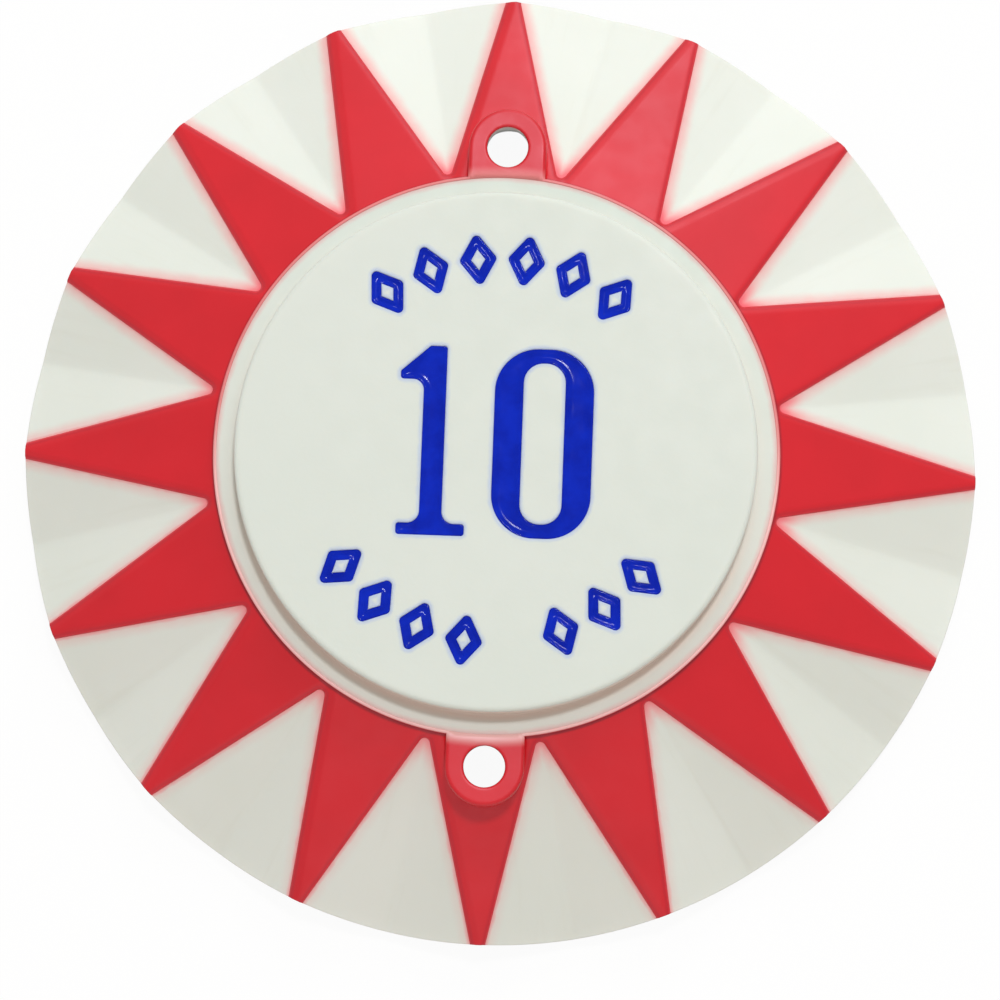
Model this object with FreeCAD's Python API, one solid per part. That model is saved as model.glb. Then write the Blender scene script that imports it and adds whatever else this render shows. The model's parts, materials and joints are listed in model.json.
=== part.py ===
import FreeCAD, Part

import math
import os

from FreeCAD import Vector

# A screw-down cap for a pinball bumper: one white moulding with a pleated skirt of rays round
# a stepped drum, a coat of red paint on the rays and the screw ears, and blue enamel in the
# engraved numeral 10 and in the marks above and below it.
#
# +Z is up, out of the cap's face, and +Y is the top of the numerals. The origin is at the
# middle of the circle that the rim stands on. Lengths are millimetres, angles are degrees.

# Skirt
rim_radius = 39.7
ray_count = 16
ray_tip_width = 0.1        # across a ray's flat top where it meets the rim
rim_rise = 2.15            # how far a ray's tip stands above the valleys beside it
skirt_wall = 2.0           # measured straight down

# Drum and disc
cap_height = 15.0
disc_step = 2.6            # from the ledge up to the disc
ledge_drop = 0.9           # from the ledge down to the rays, at the drum's side
drum_radius = 23.0
ledge_width = 1.85
drum_wall = 2.0
disc_edge_radius = 0.35    # rounding of the disc's upper edge
valley_tuck = 1.3          # the valleys start this far inside the drum's side

# Screw ears
hole_radius = 1.75
hole_margin = 0.65         # from the drum's side to the edge of the hole
ear_land = 1.35            # plastic beside the hole
ear_thickness = 1.6        # what the screw clamps
post_clearance = 0.65      # the post's pocket is this much wider than the hole all round

# Paint
coat_thickness = 0.12
coat_lap = 0.55                # the paint runs this far over the folds beside each ray
coat_shift = -0.25             # the paint's mask sat this far off centre, along X
window_corner_radius = 0.42    # the unpainted triangles are rounded next to the drum

# Engraving
recess_depth = 0.6
enamel_sink = 0.08         # the enamel lies this far below the disc

numeral_height = 15.4
numeral_rise = 0.6         # the numerals' middle above the disc's centre
numeral_gap = 2.1          # between the foot of the 1 and the side of the 0
numeral_corner = 0.25

one_stem = 1.8
one_foot_width = 5.5
one_foot_height = 0.95
one_bracket_radius = 1.0
one_top_width = 1.35       # the level top, where the stem and the flag meet
one_flag_reach = 1.9       # how far the flag stands out from the stem
one_flag_fall = 2.1        # from the top down to the flag's tip
one_flag_edge = 0.65       # height of the flag's blunt tip
one_flag_fillet = 0.9

zero_width = 8.0
zero_side_stroke = 2.3
zero_end_stroke = 1.15
zero_outer_corner = 3.5
zero_counter_roundness = 0.94  # 1 makes the ends of the opening half circles

mark_height = 4.6          # towards the disc's edge
mark_width = 3.1
mark_stroke = 0.8
mark_corner = 0.4
mark_inset = 3.25          # from the disc's edge to a mark
mark_pitch = 3.95          # along the marks' own circle
upper_marks = 6
lower_places = 8           # marks along the bottom, with one place left bare as a gap
lower_gap_place = 5

# Sizes that follow from the ones above
ray_angle = 360.0 / ray_count
ledge_z = cap_height - disc_step
ray_tip_z = skirt_wall + rim_rise
ray_fall = (ledge_z - ledge_drop - ray_tip_z) / (rim_radius - drum_radius)
disc_radius = drum_radius - ledge_width
valley_start_radius = drum_radius - valley_tuck
valley_start_middle = valley_start_radius * math.cos(math.radians(ray_angle / 2))
valley_start_z = ray_tip_z + ray_fall * (rim_radius - valley_start_middle)
hole_offset = drum_radius + hole_margin + hole_radius
ear_radius = hole_radius + ear_land
mark_circle_radius = disc_radius - mark_inset - mark_height / 2

# Blanks that are cut away or merged run this far past the faces that stay
overrun = 1.0


def polar(radius, angle, z=0.0):
    turn = math.radians(angle)
    return Vector(radius * math.cos(turn), radius * math.sin(turn), z)


def cylinder(radius, bottom, top):
    return Part.makeCylinder(radius, top - bottom, Vector(0, 0, bottom))


def flat_face(*points):
    return Part.Face(Part.makePolygon(list(points) + [points[0]]))


def prism(face, bottom, top):
    base = face.copy()
    base.translate(Vector(0, 0, bottom))
    return base.extrude(Vector(0, 0, top - bottom))


def rounded(face, radius):
    """The face with its outward corners rounded."""
    return face.makeOffset2D(-radius).makeOffset2D(radius)


# ---------------------------------------------------------------- skirt


def ray_edge(side, x):
    """A point on one long edge of the ray that lies along +X, or on that edge made longer."""
    start = polar(valley_start_radius, side * ray_angle / 2, valley_start_z)
    half_tip = ray_tip_width / 2
    tip = Vector(math.sqrt(rim_radius ** 2 - half_tip ** 2), side * half_tip, ray_tip_z)
    return start + (tip - start) * ((x - start.x) / (tip.x - start.x))


def valley_end(angle, radius):
    """The valley line's height falls evenly from the drum to the top of the rim."""
    fall = (valley_start_z - skirt_wall) / (rim_radius - valley_start_radius)
    return polar(radius, angle, valley_start_z - fall * (radius - valley_start_radius))


def turned(point, angle):
    return FreeCAD.Rotation(Vector(0, 0, 1), angle).multVec(point)


def skirt_block(lift, floor):
    """Everything under the pleated surface, out past the rim, with the surface moved by lift."""
    reach = rim_radius + overrun
    up = Vector(0, 0, lift)
    shoulder = []
    outline = []
    faces = []
    for k in range(ray_count):
        middle = k * ray_angle
        valley = middle + ray_angle / 2
        before = polar(valley_start_radius, middle - ray_angle / 2, valley_start_z) + up
        after = polar(valley_start_radius, valley, valley_start_z) + up
        right = turned(ray_edge(-1, reach), middle) + up
        left = turned(ray_edge(1, reach), middle) + up
        low = valley_end(valley, reach) + up
        next_right = turned(ray_edge(-1, reach), middle + ray_angle) + up
        faces.append(flat_face(before, right, left, after))
        faces.append(flat_face(after, left, low))
        faces.append(flat_face(after, low, next_right))
        shoulder.append(after)
        outline += [right, left, low]
    foot = [Vector(p.x, p.y, floor) for p in outline]
    for i in range(len(outline)):
        j = (i + 1) % len(outline)
        faces.append(flat_face(outline[i], outline[j], foot[j], foot[i]))
    faces.append(flat_face(*shoulder))
    faces.append(flat_face(*foot))
    return Part.makeSolid(Part.makeShell(faces))


# ---------------------------------------------------------------- ears


def hole_centres():
    return [Vector(0, hole_offset, 0), Vector(0, -hole_offset, 0)]


def ear_prisms(grow, top):
    """Both ears: tongues that reach out of the drum and end in a half circle round the hole."""
    radius = ear_radius + grow
    ears = []
    for centre in hole_centres():
        tongue = Part.makeBox(2 * radius, hole_offset, top, Vector(-radius, min(0, centre.y), 0))
        end = Part.makeCylinder(radius, top, centre)
        ears.append(tongue.fuse(end))
    return ears


def screw_holes():
    return [Part.makeCylinder(hole_radius, cap_height, centre) for centre in hole_centres()]


def post_pockets():
    """Round pockets under the ears, which the posts of the bumper's body stand in."""
    radius = hole_radius + post_clearance
    return [Part.makeCylinder(radius, ledge_z - ear_thickness, centre) for centre in hole_centres()]


# ---------------------------------------------------------------- engraving outlines


def numeral_one():
    """A straight stem with a flag at the top left, on a bracketed foot whose left is at x = 0."""
    middle = one_foot_width / 2
    left = middle - one_stem / 2
    right = middle + one_stem / 2
    top = numeral_height
    foot = one_foot_height
    bracket = one_bracket_radius
    quarter = bracket * (1 - math.sqrt(0.5))
    flag_x = left - one_flag_reach
    flag_low = top - one_flag_fall - one_flag_edge
    hollow = one_flag_fillet
    hollow_mid = hollow * (1 - math.sqrt(0.5))
    edges = [
        Part.makeLine((0, 0, 0), (one_foot_width, 0, 0)),
        Part.makeLine((one_foot_width, 0, 0), (one_foot_width, foot, 0)),
        Part.makeLine((one_foot_width, foot, 0), (right + bracket, foot, 0)),
        Part.Arc(Vector(right + bracket, foot, 0),
                 Vector(right + quarter, foot + quarter, 0),
                 Vector(right, foot + bracket, 0)).toShape(),
        Part.makeLine((right, foot + bracket, 0), (right, top, 0)),
        Part.makeLine((right, top, 0), (right - one_top_width, top, 0)),
        Part.makeLine((right - one_top_width, top, 0), (flag_x, top - one_flag_fall, 0)),
        Part.makeLine((flag_x, top - one_flag_fall, 0), (flag_x, flag_low, 0)),
        Part.makeLine((flag_x, flag_low, 0), (left - hollow, flag_low, 0)),
        Part.Arc(Vector(left - hollow, flag_low, 0),
                 Vector(left - hollow_mid, flag_low - hollow_mid, 0),
                 Vector(left, flag_low - hollow, 0)).toShape(),
        Part.makeLine((left, flag_low - hollow, 0), (left, foot + bracket, 0)),
        Part.Arc(Vector(left, foot + bracket, 0),
                 Vector(left - quarter, foot + quarter, 0),
                 Vector(left - bracket, foot, 0)).toShape(),
        Part.makeLine((left - bracket, foot, 0), (0, foot, 0)),
        Part.makeLine((0, foot, 0), (0, 0, 0)),
    ]
    return rounded(Part.Face(Part.Wire(edges)), numeral_corner)


def round_ended_box(x, y, width, height, corner):
    """A rectangle with its corners rounded; (x, y) is its lower left corner."""
    face = flat_face(Vector(x, y, 0), Vector(x + width, y, 0),
                     Vector(x + width, y + height, 0), Vector(x, y + height, 0))
    return rounded(face, corner)


def numeral_zero():
    """A tall ring, heavy at the sides and light at the ends, its left side at x = 0."""
    outer = round_ended_box(0, 0, zero_width, numeral_height, zero_outer_corner)
    inner_width = zero_width - 2 * zero_side_stroke
    inner_corner = zero_counter_roundness * inner_width / 2
    inner = round_ended_box(zero_side_stroke, zero_end_stroke, inner_width,
                            numeral_height - 2 * zero_end_stroke, inner_corner)
    return outer.cut(inner)


def lozenge_ring():
    """One generic mark, a hollow lozenge standing on its point, with its middle at the origin."""
    tall = mark_height / 2
    wide = mark_width / 2
    side = flat_face(Vector(0, -tall, 0), Vector(wide, 0, 0), Vector(0, tall, 0), Vector(-wide, 0, 0))
    return rounded(side, mark_corner).cut(side.makeOffset2D(-mark_stroke))


def placed(face, turn, x, y):
    shape = face.copy()
    shape.rotate(Vector(0, 0, 0), Vector(0, 0, 1), turn)
    shape.translate(Vector(x, y, 0))
    return shape


def mark_at(angle):
    centre = polar(mark_circle_radius, angle)
    return placed(lozenge_ring(), angle - 90, centre.x, centre.y)


def engravings():
    """Every engraved outline, by the name of the enamel that fills it."""
    outlines = {}
    total_width = one_foot_width + numeral_gap + zero_width
    foot_y = numeral_rise - numeral_height / 2
    outlines["numeral_1_fill"] = placed(numeral_one(), 0, -total_width / 2, foot_y)
    outlines["numeral_0_fill"] = placed(numeral_zero(), 0, total_width / 2 - zero_width, foot_y)
    step = math.degrees(mark_pitch / mark_circle_radius)
    for i in range(upper_marks):
        angle = 90 + step * ((upper_marks - 1) / 2 - i)
        outlines[f"upper_mark_{i + 1}_fill"] = mark_at(angle)
    number = 0
    for i in range(lower_places):
        if i + 1 == lower_gap_place:
            continue
        number += 1
        angle = -90 - step * ((lower_places - 1) / 2 - i)
        outlines[f"lower_mark_{number}_fill"] = mark_at(angle)
    return outlines


# ---------------------------------------------------------------- pieces


def outside(coat):
    """The cap as a full solid below its outer surface, under a coat of this thickness."""
    body = skirt_block(coat, -overrun).common(cylinder(rim_radius, -2 * overrun, cap_height))
    drum = cylinder(drum_radius + coat, 0, ledge_z)
    ears = ear_prisms(coat, ledge_z + coat)
    return body.fuse([drum] + ears)


def disc_blank():
    disc = cylinder(disc_radius, 0, cap_height)
    top_edges = [edge for edge in disc.Edges if edge.CenterOfMass.z > cap_height - overrun
                 and isinstance(edge.Curve, Part.Circle)]
    return disc.makeFillet(disc_edge_radius, top_edges)


def make_shell(full, outlines):
    hollow = skirt_block(-skirt_wall, -3 * overrun)
    drum_hollow = cylinder(drum_radius - drum_wall, 0, ledge_z - drum_wall)
    disc_hollow = cylinder(disc_radius - drum_wall, 0, cap_height - drum_wall)
    recesses = [prism(face, cap_height - recess_depth, cap_height + overrun)
                for face in outlines.values()]
    shell = full.fuse(disc_blank())
    shell = shell.cut([hollow, drum_hollow, disc_hollow])
    return shell.cut(screw_holes() + post_pockets() + recesses).removeSplitter()


def unpainted_window(valley):
    """The bare triangle round one valley, held back from the folds, and open past the rim."""
    start = polar(valley_start_radius, 0)
    along_fold = turned(ray_edge(1, rim_radius), -ray_angle / 2) - start
    along_fold.z = 0
    slant = along_fold.getAngle(start)
    apex = start.x + coat_lap / math.sin(slant)
    corner = window_corner_radius
    reach = 2 * rim_radius
    left = polar(1, math.degrees(slant))
    right = polar(1, -math.degrees(slant))
    tip = Vector(apex, 0, 0)
    nose = Vector(apex + corner / math.sin(slant) - corner, 0, 0)
    tangent = corner / math.tan(slant)
    face = Part.Face(Part.Wire([
        Part.Arc(tip + left * tangent, nose, tip + right * tangent).toShape(),
        Part.makeLine(tip + right * tangent, tip + right * reach),
        Part.makeLine(tip + right * reach, tip + left * reach),
        Part.makeLine(tip + left * reach, tip + left * tangent),
    ]))
    return placed(face, valley, coat_shift, 0)


def make_coat(full):
    """Paint on everything outside the drum's edge, apart from the triangles between the rays."""
    skin = outside(coat_thickness)
    windows = [prism(unpainted_window((k + 0.5) * ray_angle), -2 * overrun, cap_height)
               for k in range(ray_count)]
    core = cylinder(drum_radius, -2 * overrun, cap_height)
    outer = skin.cut(core).cut(windows)
    return outer.cut(full).cut(screw_holes()).removeSplitter()


def make_pieces():
    outlines = engravings()
    full = outside(0)
    pieces = {"cap_shell": make_shell(full, outlines), "star_coat": make_coat(full)}
    for name, face in outlines.items():
        pieces[name] = prism(face, cap_height - recess_depth, cap_height - enamel_sink)
    return pieces


os.makedirs("parts", exist_ok=True)
for name, shape in make_pieces().items():
    shape.exportStep(f"parts/{name}.step")
    box = shape.BoundBox
    print(f"{name}: {len(shape.Solids)} solid, {shape.Volume:.2f} mm3, valid {shape.isValid()}, "
          f"z {box.ZMin:.2f} to {box.ZMax:.2f}")
print(f"screw holes {2 * hole_offset:.2f} mm apart")
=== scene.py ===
import json
import math

import bmesh
import bpy
import numpy as np
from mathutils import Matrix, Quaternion, Vector, geometry, kdtree, noise

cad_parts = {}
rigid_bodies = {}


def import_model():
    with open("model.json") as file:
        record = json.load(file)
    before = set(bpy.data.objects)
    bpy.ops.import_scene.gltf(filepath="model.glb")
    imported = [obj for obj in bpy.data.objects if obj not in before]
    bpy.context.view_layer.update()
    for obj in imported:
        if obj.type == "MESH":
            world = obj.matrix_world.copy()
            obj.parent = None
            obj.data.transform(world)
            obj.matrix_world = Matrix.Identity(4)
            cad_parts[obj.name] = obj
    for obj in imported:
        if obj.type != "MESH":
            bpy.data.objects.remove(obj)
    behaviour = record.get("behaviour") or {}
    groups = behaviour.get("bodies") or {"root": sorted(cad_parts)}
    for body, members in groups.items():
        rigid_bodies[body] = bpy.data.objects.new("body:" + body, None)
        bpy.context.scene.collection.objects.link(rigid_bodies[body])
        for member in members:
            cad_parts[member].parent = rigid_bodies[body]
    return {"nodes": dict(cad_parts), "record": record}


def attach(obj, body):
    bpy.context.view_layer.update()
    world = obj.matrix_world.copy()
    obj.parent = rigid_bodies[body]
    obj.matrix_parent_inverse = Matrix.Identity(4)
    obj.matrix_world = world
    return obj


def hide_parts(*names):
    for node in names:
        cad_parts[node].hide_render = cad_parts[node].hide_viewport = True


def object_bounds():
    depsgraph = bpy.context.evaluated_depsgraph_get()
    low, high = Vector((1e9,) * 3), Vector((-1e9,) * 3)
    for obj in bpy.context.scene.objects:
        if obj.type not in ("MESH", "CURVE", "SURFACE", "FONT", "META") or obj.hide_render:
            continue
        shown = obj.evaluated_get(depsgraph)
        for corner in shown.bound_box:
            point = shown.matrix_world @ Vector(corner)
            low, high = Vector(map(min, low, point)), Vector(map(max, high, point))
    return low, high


# A pinball bumper cap: a white pleated moulding, a coat of red paint on its rays, drum side and
# ears, and blue enamel in its engraved numerals and marks. Lengths here are millimetres and
# angles degrees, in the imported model's frame, and meshes are written in metres.

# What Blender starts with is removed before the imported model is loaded
for leftover in list(bpy.data.objects):
    bpy.data.objects.remove(leftover)

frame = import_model()
cad_low, cad_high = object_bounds()

MM = 0.001
mounts = {mount["name"]: mount for mount in frame["record"]["mounts"]}
screws = mounts["screw_holes"]["dims"]

# Skirt and drum
rim_radius = cad_high.x / MM
cap_height = cad_high.z / MM
ray_count = 16
ray_tip_width = 0.1
rim_rise = 2.15
skirt_wall = 2.0
disc_step = 2.6
ledge_drop = 0.9
drum_radius = 23.0
ledge_width = 1.85
drum_wall = 2.0
valley_tuck = 1.3

# Ears
hole_radius = screws["hole_r_mm"]
hole_offset = screws["spacing_y_mm"] / 2
ear_radius = hole_radius + 1.35
pocket_radius = hole_radius + 0.65
pocket_z = mounts["post_seat"]["pos_m"][2] / MM

# Paint and enamel
coat_lap = 0.55
coat_shift = -0.25
window_corner = 0.42
coat_thickness = 0.09
coat_bite = 0.03           # the paint's hidden underside lies this far inside the plastic
coat_feather = 0.16        # the paint thins out over this width at its edge
coat_edge_share = 0.1      # share of the thickness at the very edge
coat_least_share = 0.35    # and at the inner points that are nearest to it
coat_least_gap = 0.05      # distance from the edge that those points are given
no_foot_gap = 1.0          # distance from the drum's foot that the drum's top is given
rim_skin = 0.03            # the plastic stands this far inside the rim's size, which the paint reaches
recess_depth = 0.6
enamel_edge_sink = 0.10    # the enamel climbs this close to the disc at the recess's wall
enamel_mid_sink = 0.24
enamel_meniscus = 0.32     # width over which it climbs
enamel_wave = 0.035        # it is uneven in the middle by this much
enamel_wave_scale = 0.55   # per millimetre
enamel_wave_slice = 3.0    # where the noise is cut through
enamel_clearance = 0.01    # between the enamel and the recess's floor

# Rounding of the moulding's edges
rim_edge = 0.14
drum_edge = 0.2
hole_edge = 0.12
disc_edge = 0.35
disc_foot = 0.16
recess_edge = 0.09
fold_blend = 0.05          # height over which a ray's face runs into the face beside it
valley_blend = 0.28        # half width of the valley's rounding
hollow_edge = 0.3

# Sizes that follow
ray_angle = 360 / ray_count
half_ray = ray_angle / 2
ledge_z = cap_height - disc_step
ray_tip_z = skirt_wall + rim_rise
ray_fall = (ledge_z - ledge_drop - ray_tip_z) / (rim_radius - drum_radius)
disc_radius = drum_radius - ledge_width
hollow_radius = drum_radius - drum_wall
hollow_z = ledge_z - drum_wall
disc_hollow_radius = disc_radius - drum_wall
disc_hollow_z = cap_height - drum_wall
valley_start = drum_radius - valley_tuck
valley_start_z = ray_tip_z + ray_fall * (rim_radius - valley_start * math.cos(math.radians(half_ray)))
valley_fall = (valley_start_z - skirt_wall) / (rim_radius - valley_start)
tip_turn = math.radians(half_ray) - math.asin(ray_tip_width / 2 / rim_radius)
tip_along = rim_radius * math.cos(tip_turn)
tip_across = rim_radius * math.sin(tip_turn)
side_rise = (ray_tip_z - valley_start_z + valley_fall * (tip_along - valley_start)) / tip_across
slant = math.atan2(tip_across, tip_along - valley_start)   # between a fold and its valley, in plan
edge_radius = rim_radius - rim_edge        # the rim's rounding starts here
paint_radius = drum_radius - drum_edge     # the paint on the ears ends here

# How finely the meshes are cut: points in a circle, and spacings between points and rows
disc_points = 360
hollow_points = 240
hole_points = 96
edge_points = 4            # in a quarter turn round an edge
drum_edge_points = 5       # round the drum's and the holes' edges
disc_edge_points = 6
drum_side_points = 165     # in a quarter of the drum's outline, then along and round an ear
ear_side_points = 10
ear_arc_points = 33
arc_points = 21            # where the ears' paint ends on the ledge
rim_step = 0.6             # degrees
rim_gap = 0.12             # degrees between an even point and a line's end
window_step = 0.5          # along a window's straight edge, and round its corner
window_corner_step = 0.09
least_corner = 0.03        # a smaller corner is a single point
engraved_step = 0.4
enamel_step = 0.17
enamel_spacing = 0.6 * enamel_step
skirt_margin = 0.4         # the even points keep this far from the rim and the drum
skirt_spacing = 0.9
fine_spacing = 0.09
underside_spacing = 1.3
coarse_spacing = 0.12
hollow_margin = 0.5
ceiling_spacing = 1.5
disc_spacing = 0.7
disc_margin = 0.8
disc_fine_spacing = 0.2
row_margin = 0.2           # between a circle and the first row of points beside it
ear_spacing = 0.3
ear_margin = 0.25
rim_margin = 0.12          # the rows end this far inside the rim's rounding
fold_rows = (0, 0.13, -0.13, 0.28, -0.28)
fold_start = 0.8
fold_step = 0.33
valley_rows = (0, 0.1, -0.1, 0.3, -0.3)
valley_step = 0.4
paint_rows = (coat_feather, -0.12)         # beside the paint's edge: above 0 on the paint
haze_rows = (-0.3, -0.6, -1.0, -1.5)       # these carry the paint's pink haze
foot_row = 0.1             # beside the drum's foot, its upper edge and the holes
ledge_rows = (0.3, 0.8)    # outside the disc
halo_row = 0.1             # outside a recess's lip
recess_rows = (0.45, 0.8)  # outside a recess's wall
recess_margin = 0.38       # no loose point is nearer to a recess's wall
weld_grid = 2000           # welding places per millimetre
key_grid = 1e7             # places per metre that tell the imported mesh's points apart
tiny = 1e-5
slack = 0.01               # given to comparisons of distances


# -------------------------------- shape of the skirt


def polar(radius, angle):
    turn = np.radians(angle)
    return np.stack([radius * np.cos(turn), radius * np.sin(turn)], axis=-1)


def skirt_height(points):
    """Height of the pleated outer surface at points in plan, with its folds slightly rounded."""
    x, y = points[:, 0], points[:, 1]
    radius = np.hypot(x, y)
    angle = np.degrees(np.arctan2(y, x))
    off_ray = np.abs((angle + half_ray) % ray_angle - half_ray)
    ray = ray_tip_z + ray_fall * (rim_radius - radius * np.cos(np.radians(off_ray)))
    off_valley = np.radians(half_ray - off_ray)
    across = radius * np.sin(off_valley)
    soft = np.sqrt(across ** 2 + valley_blend ** 2) - valley_blend / 2
    side = valley_start_z - valley_fall * (radius * np.cos(off_valley) - valley_start) + side_rise * soft
    near = np.maximum(fold_blend - np.abs(ray - side), 0)
    return np.minimum(ray, side) - near ** 2 / (4 * fold_blend)


def in_window_frame(points, number):
    """Points in plan, turned and moved so that window number points along +X."""
    turn = math.radians((number + 0.5) * ray_angle)
    x = points[:, 0] - coat_shift
    y = points[:, 1]
    return x * math.cos(turn) + y * math.sin(turn), y * math.cos(turn) - x * math.sin(turn)


def window_gap(points, number):
    """Distance in plan from the unpainted window's edge: above 0 on the paint, below 0 on the white."""
    along, across = in_window_frame(points, number)
    across = np.abs(across)
    apex = valley_start + coat_lap / math.sin(slant)
    nose = apex + window_corner / math.sin(slant)
    straight = across * math.cos(slant) - (along - apex) * math.sin(slant)
    ahead = (along - nose) * math.cos(slant) + across * math.sin(slant)
    return np.where(ahead < 0, np.hypot(along - nose, across) - window_corner, straight)


def paint_depth(points):
    """How far a point on the skirt lies inside the paint, and below 0 how far outside it."""
    return np.min([window_gap(points, k) for k in range(ray_count)], axis=0)


def window_outline(number, grow, limit):
    """The line round a window, moved onto the paint by grow, from rim to rim and cut at a radius."""
    apex = valley_start + coat_lap / math.sin(slant)
    nose = apex + window_corner / math.sin(slant)
    corner = window_corner + grow
    tangent = math.pi / 2 + slant
    rows = []
    if corner > least_corner:
        arc = max(3, int(corner * tangent / window_corner_step))
        for i in range(arc + 1):
            turn = math.pi - (math.pi / 2 - slant) * i / arc
            rows.append((nose + corner * math.cos(turn), corner * math.sin(turn)))
    else:
        rows.append((apex - grow / math.sin(slant), 0.0))
    x, y = rows[-1]
    while math.hypot(x, y) < rim_radius + 1:
        x += window_step * math.cos(slant)
        y += window_step * math.sin(slant)
        rows.append((x, y))
    line = [(px, -py) for px, py in reversed(rows)] + rows[1:]
    turn = math.radians((number + 0.5) * ray_angle)
    c, s = math.cos(turn), math.sin(turn)
    placed = np.array([(coat_shift + px * c - py * s, px * s + py * c) for px, py in line])
    return cut_at_radius(placed, limit)


def cut_at_radius(line, radius):
    """The stretch of a line inside a circle, ended exactly on the circle."""
    inside = np.hypot(line[:, 0], line[:, 1]) < radius
    first, last = np.flatnonzero(inside)[[0, -1]]
    ends = []
    for a, b in ((first, first - 1), (last, last + 1)):
        start, step = line[a], line[b] - line[a]
        qa, qb, qc = step @ step, 2 * start @ step, start @ start - radius ** 2
        ends.append(start + step * (-qb + math.sqrt(qb * qb - 4 * qa * qc)) / (2 * qa))
    return np.array([ends[0], *line[first:last + 1], ends[1]])


def drum_outline(grow):
    """The drum with its two ears in plan, moved out by grow; the same number of points each time."""
    radius, ear = drum_radius + grow, ear_radius + grow
    corner = math.degrees(math.asin(ear_radius / drum_radius))
    corner_y = math.sqrt(radius ** 2 - ear ** 2)
    quarter = []
    for angle in np.linspace(0, 90 - corner, drum_side_points)[:-1]:
        quarter.append(tuple(polar(radius, angle)))
    for y in np.linspace(corner_y, hole_offset, ear_side_points)[:-1]:
        quarter.append((ear, y))
    for angle in np.linspace(0, 90, ear_arc_points):
        x, y = polar(ear, angle)
        quarter.append((x, hole_offset + y))
    half = quarter + [(-x, y) for x, y in reversed(quarter[:-1])]
    return np.array(half + [(-x, -y) for x, y in half[1:-1]])


def circle(radius, count, centre=(0, 0)):
    return polar(radius, np.arange(count) * 360 / count) + np.array(centre)


# -------------------------------- building meshes


def inside_polygon(points, loop):
    x, y = points[:, 0], points[:, 1]
    inside = np.zeros(len(points), bool)
    for (x1, y1), (x2, y2) in zip(loop, np.roll(loop, -1, axis=0)):
        if y1 != y2:
            inside ^= ((y1 > y) != (y2 > y)) & (x < x1 + (y - y1) / (y2 - y1) * (x2 - x1))
    return inside


def triangulate(outer, holes=(), lines=(), scattered=None):
    """Triangles inside outer and outside the holes that keep every loop and line as edges."""
    points, edges = [], []
    for loop in [outer, *holes]:
        first = len(points)
        points += [tuple(p) for p in loop]
        edges += [(first + i, first + (i + 1) % len(loop)) for i in range(len(loop))]
    for line in lines:
        first = len(points)
        points += [tuple(p) for p in line]
        edges += [(first + i, first + i + 1) for i in range(len(line) - 1)]
    if scattered is not None:
        points += [tuple(p) for p in scattered]
    places, _, corners, origins, _, _ = geometry.delaunay_2d_cdt(
        [Vector(p) for p in points], edges, [], 1, tiny, True)
    # The points that were given are used again as they are, because the ones made are rounded
    flat = np.array([points[given[0]] if given else tuple(p) for p, given in zip(places, origins)])
    faces = np.array([tuple(face) for face in corners])
    middles = flat[faces].mean(axis=1)
    one, two = flat[faces[:, 1]] - flat[faces[:, 0]], flat[faces[:, 2]] - flat[faces[:, 0]]
    area = np.abs(one[:, 0] * two[:, 1] - one[:, 1] * two[:, 0])
    keep = inside_polygon(middles, np.array(outer)) & (area > tiny)
    for hole in holes:
        keep &= ~inside_polygon(middles, np.array(hole))
    return flat, faces[keep]


def thinned(points, spacing, fixed):
    """Those points, in order, that lie at least a spacing from the fixed ones and each other."""
    tree = kdtree.KDTree(len(fixed))
    for i, p in enumerate(fixed):
        tree.insert(Vector((*p, 0)), i)
    tree.balance()
    cells = {}
    kept = []
    for p in points:
        if tree.find(Vector((*p, 0)))[2] < spacing:
            continue
        column, row = int(p[0] // spacing), int(p[1] // spacing)
        around = [(column + i, row + j) for i in (-1, 0, 1) for j in (-1, 0, 1)]
        if any(math.dist(p, q) < spacing for cell in around for q in cells.get(cell, [])):
            continue
        cells.setdefault((column, row), []).append(p)
        kept.append(p)
    return kept


class Builder:
    """Collects points and faces in millimetres, and welds what lies in the same place."""

    def __init__(self):
        self.mesh = bmesh.new()
        self.found = {}

    def vertex(self, x, y, z):
        key = tuple(round(value * weld_grid) for value in (x, y, z))
        if key not in self.found:
            self.found[key] = self.mesh.verts.new((x, y, z))
        return self.found[key]

    def face(self, corners, tag=0):
        corners = [v for i, v in enumerate(corners) if v is not corners[i - 1]]
        if len(set(corners)) < 3 or self.mesh.faces.get(corners):
            return
        made = self.mesh.faces.new(corners)
        made.material_index = tag
        made.smooth = True

    def patch(self, flat, faces, heights, upward=True, tags=None):
        corners = [self.vertex(p[0], p[1], z) for p, z in zip(flat, heights)]
        for i, (a, b, c) in enumerate(faces):
            area = np.cross(flat[b] - flat[a], flat[c] - flat[a])
            loop = [a, b, c] if (area > 0) == upward else [a, c, b]
            self.face([corners[k] for k in loop], 0 if tags is None else tags[i])

    def strip(self, low, high, tag=0, close=True):
        """A wall of quads between two rows of points that run side by side."""
        a = [self.vertex(*p) for p in low]
        b = [self.vertex(*p) for p in high]
        for i in range(len(a) if close else len(a) - 1):
            j = (i + 1) % len(a)
            self.face([a[i], a[j], b[j], b[i]], tag if np.isscalar(tag) else int(tag[i]))


def at(loop, heights):
    """A loop in plan with heights added: one height, or one for each point."""
    return np.column_stack([loop, np.broadcast_to(heights, len(loop))])


def object_from(mesh_data, name, material):
    """Turns a bmesh in millimetres into a Blender object in metres."""
    bmesh.ops.scale(mesh_data, vec=(MM, MM, MM), verts=mesh_data.verts)
    mesh = bpy.data.meshes.new(name)
    mesh_data.to_mesh(mesh)
    mesh.materials.append(material)
    piece = bpy.data.objects.new(name, mesh)
    bpy.context.scene.collection.objects.link(piece)
    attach(piece, "root")
    return piece


# -------------------------------- the engraved outlines


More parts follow.
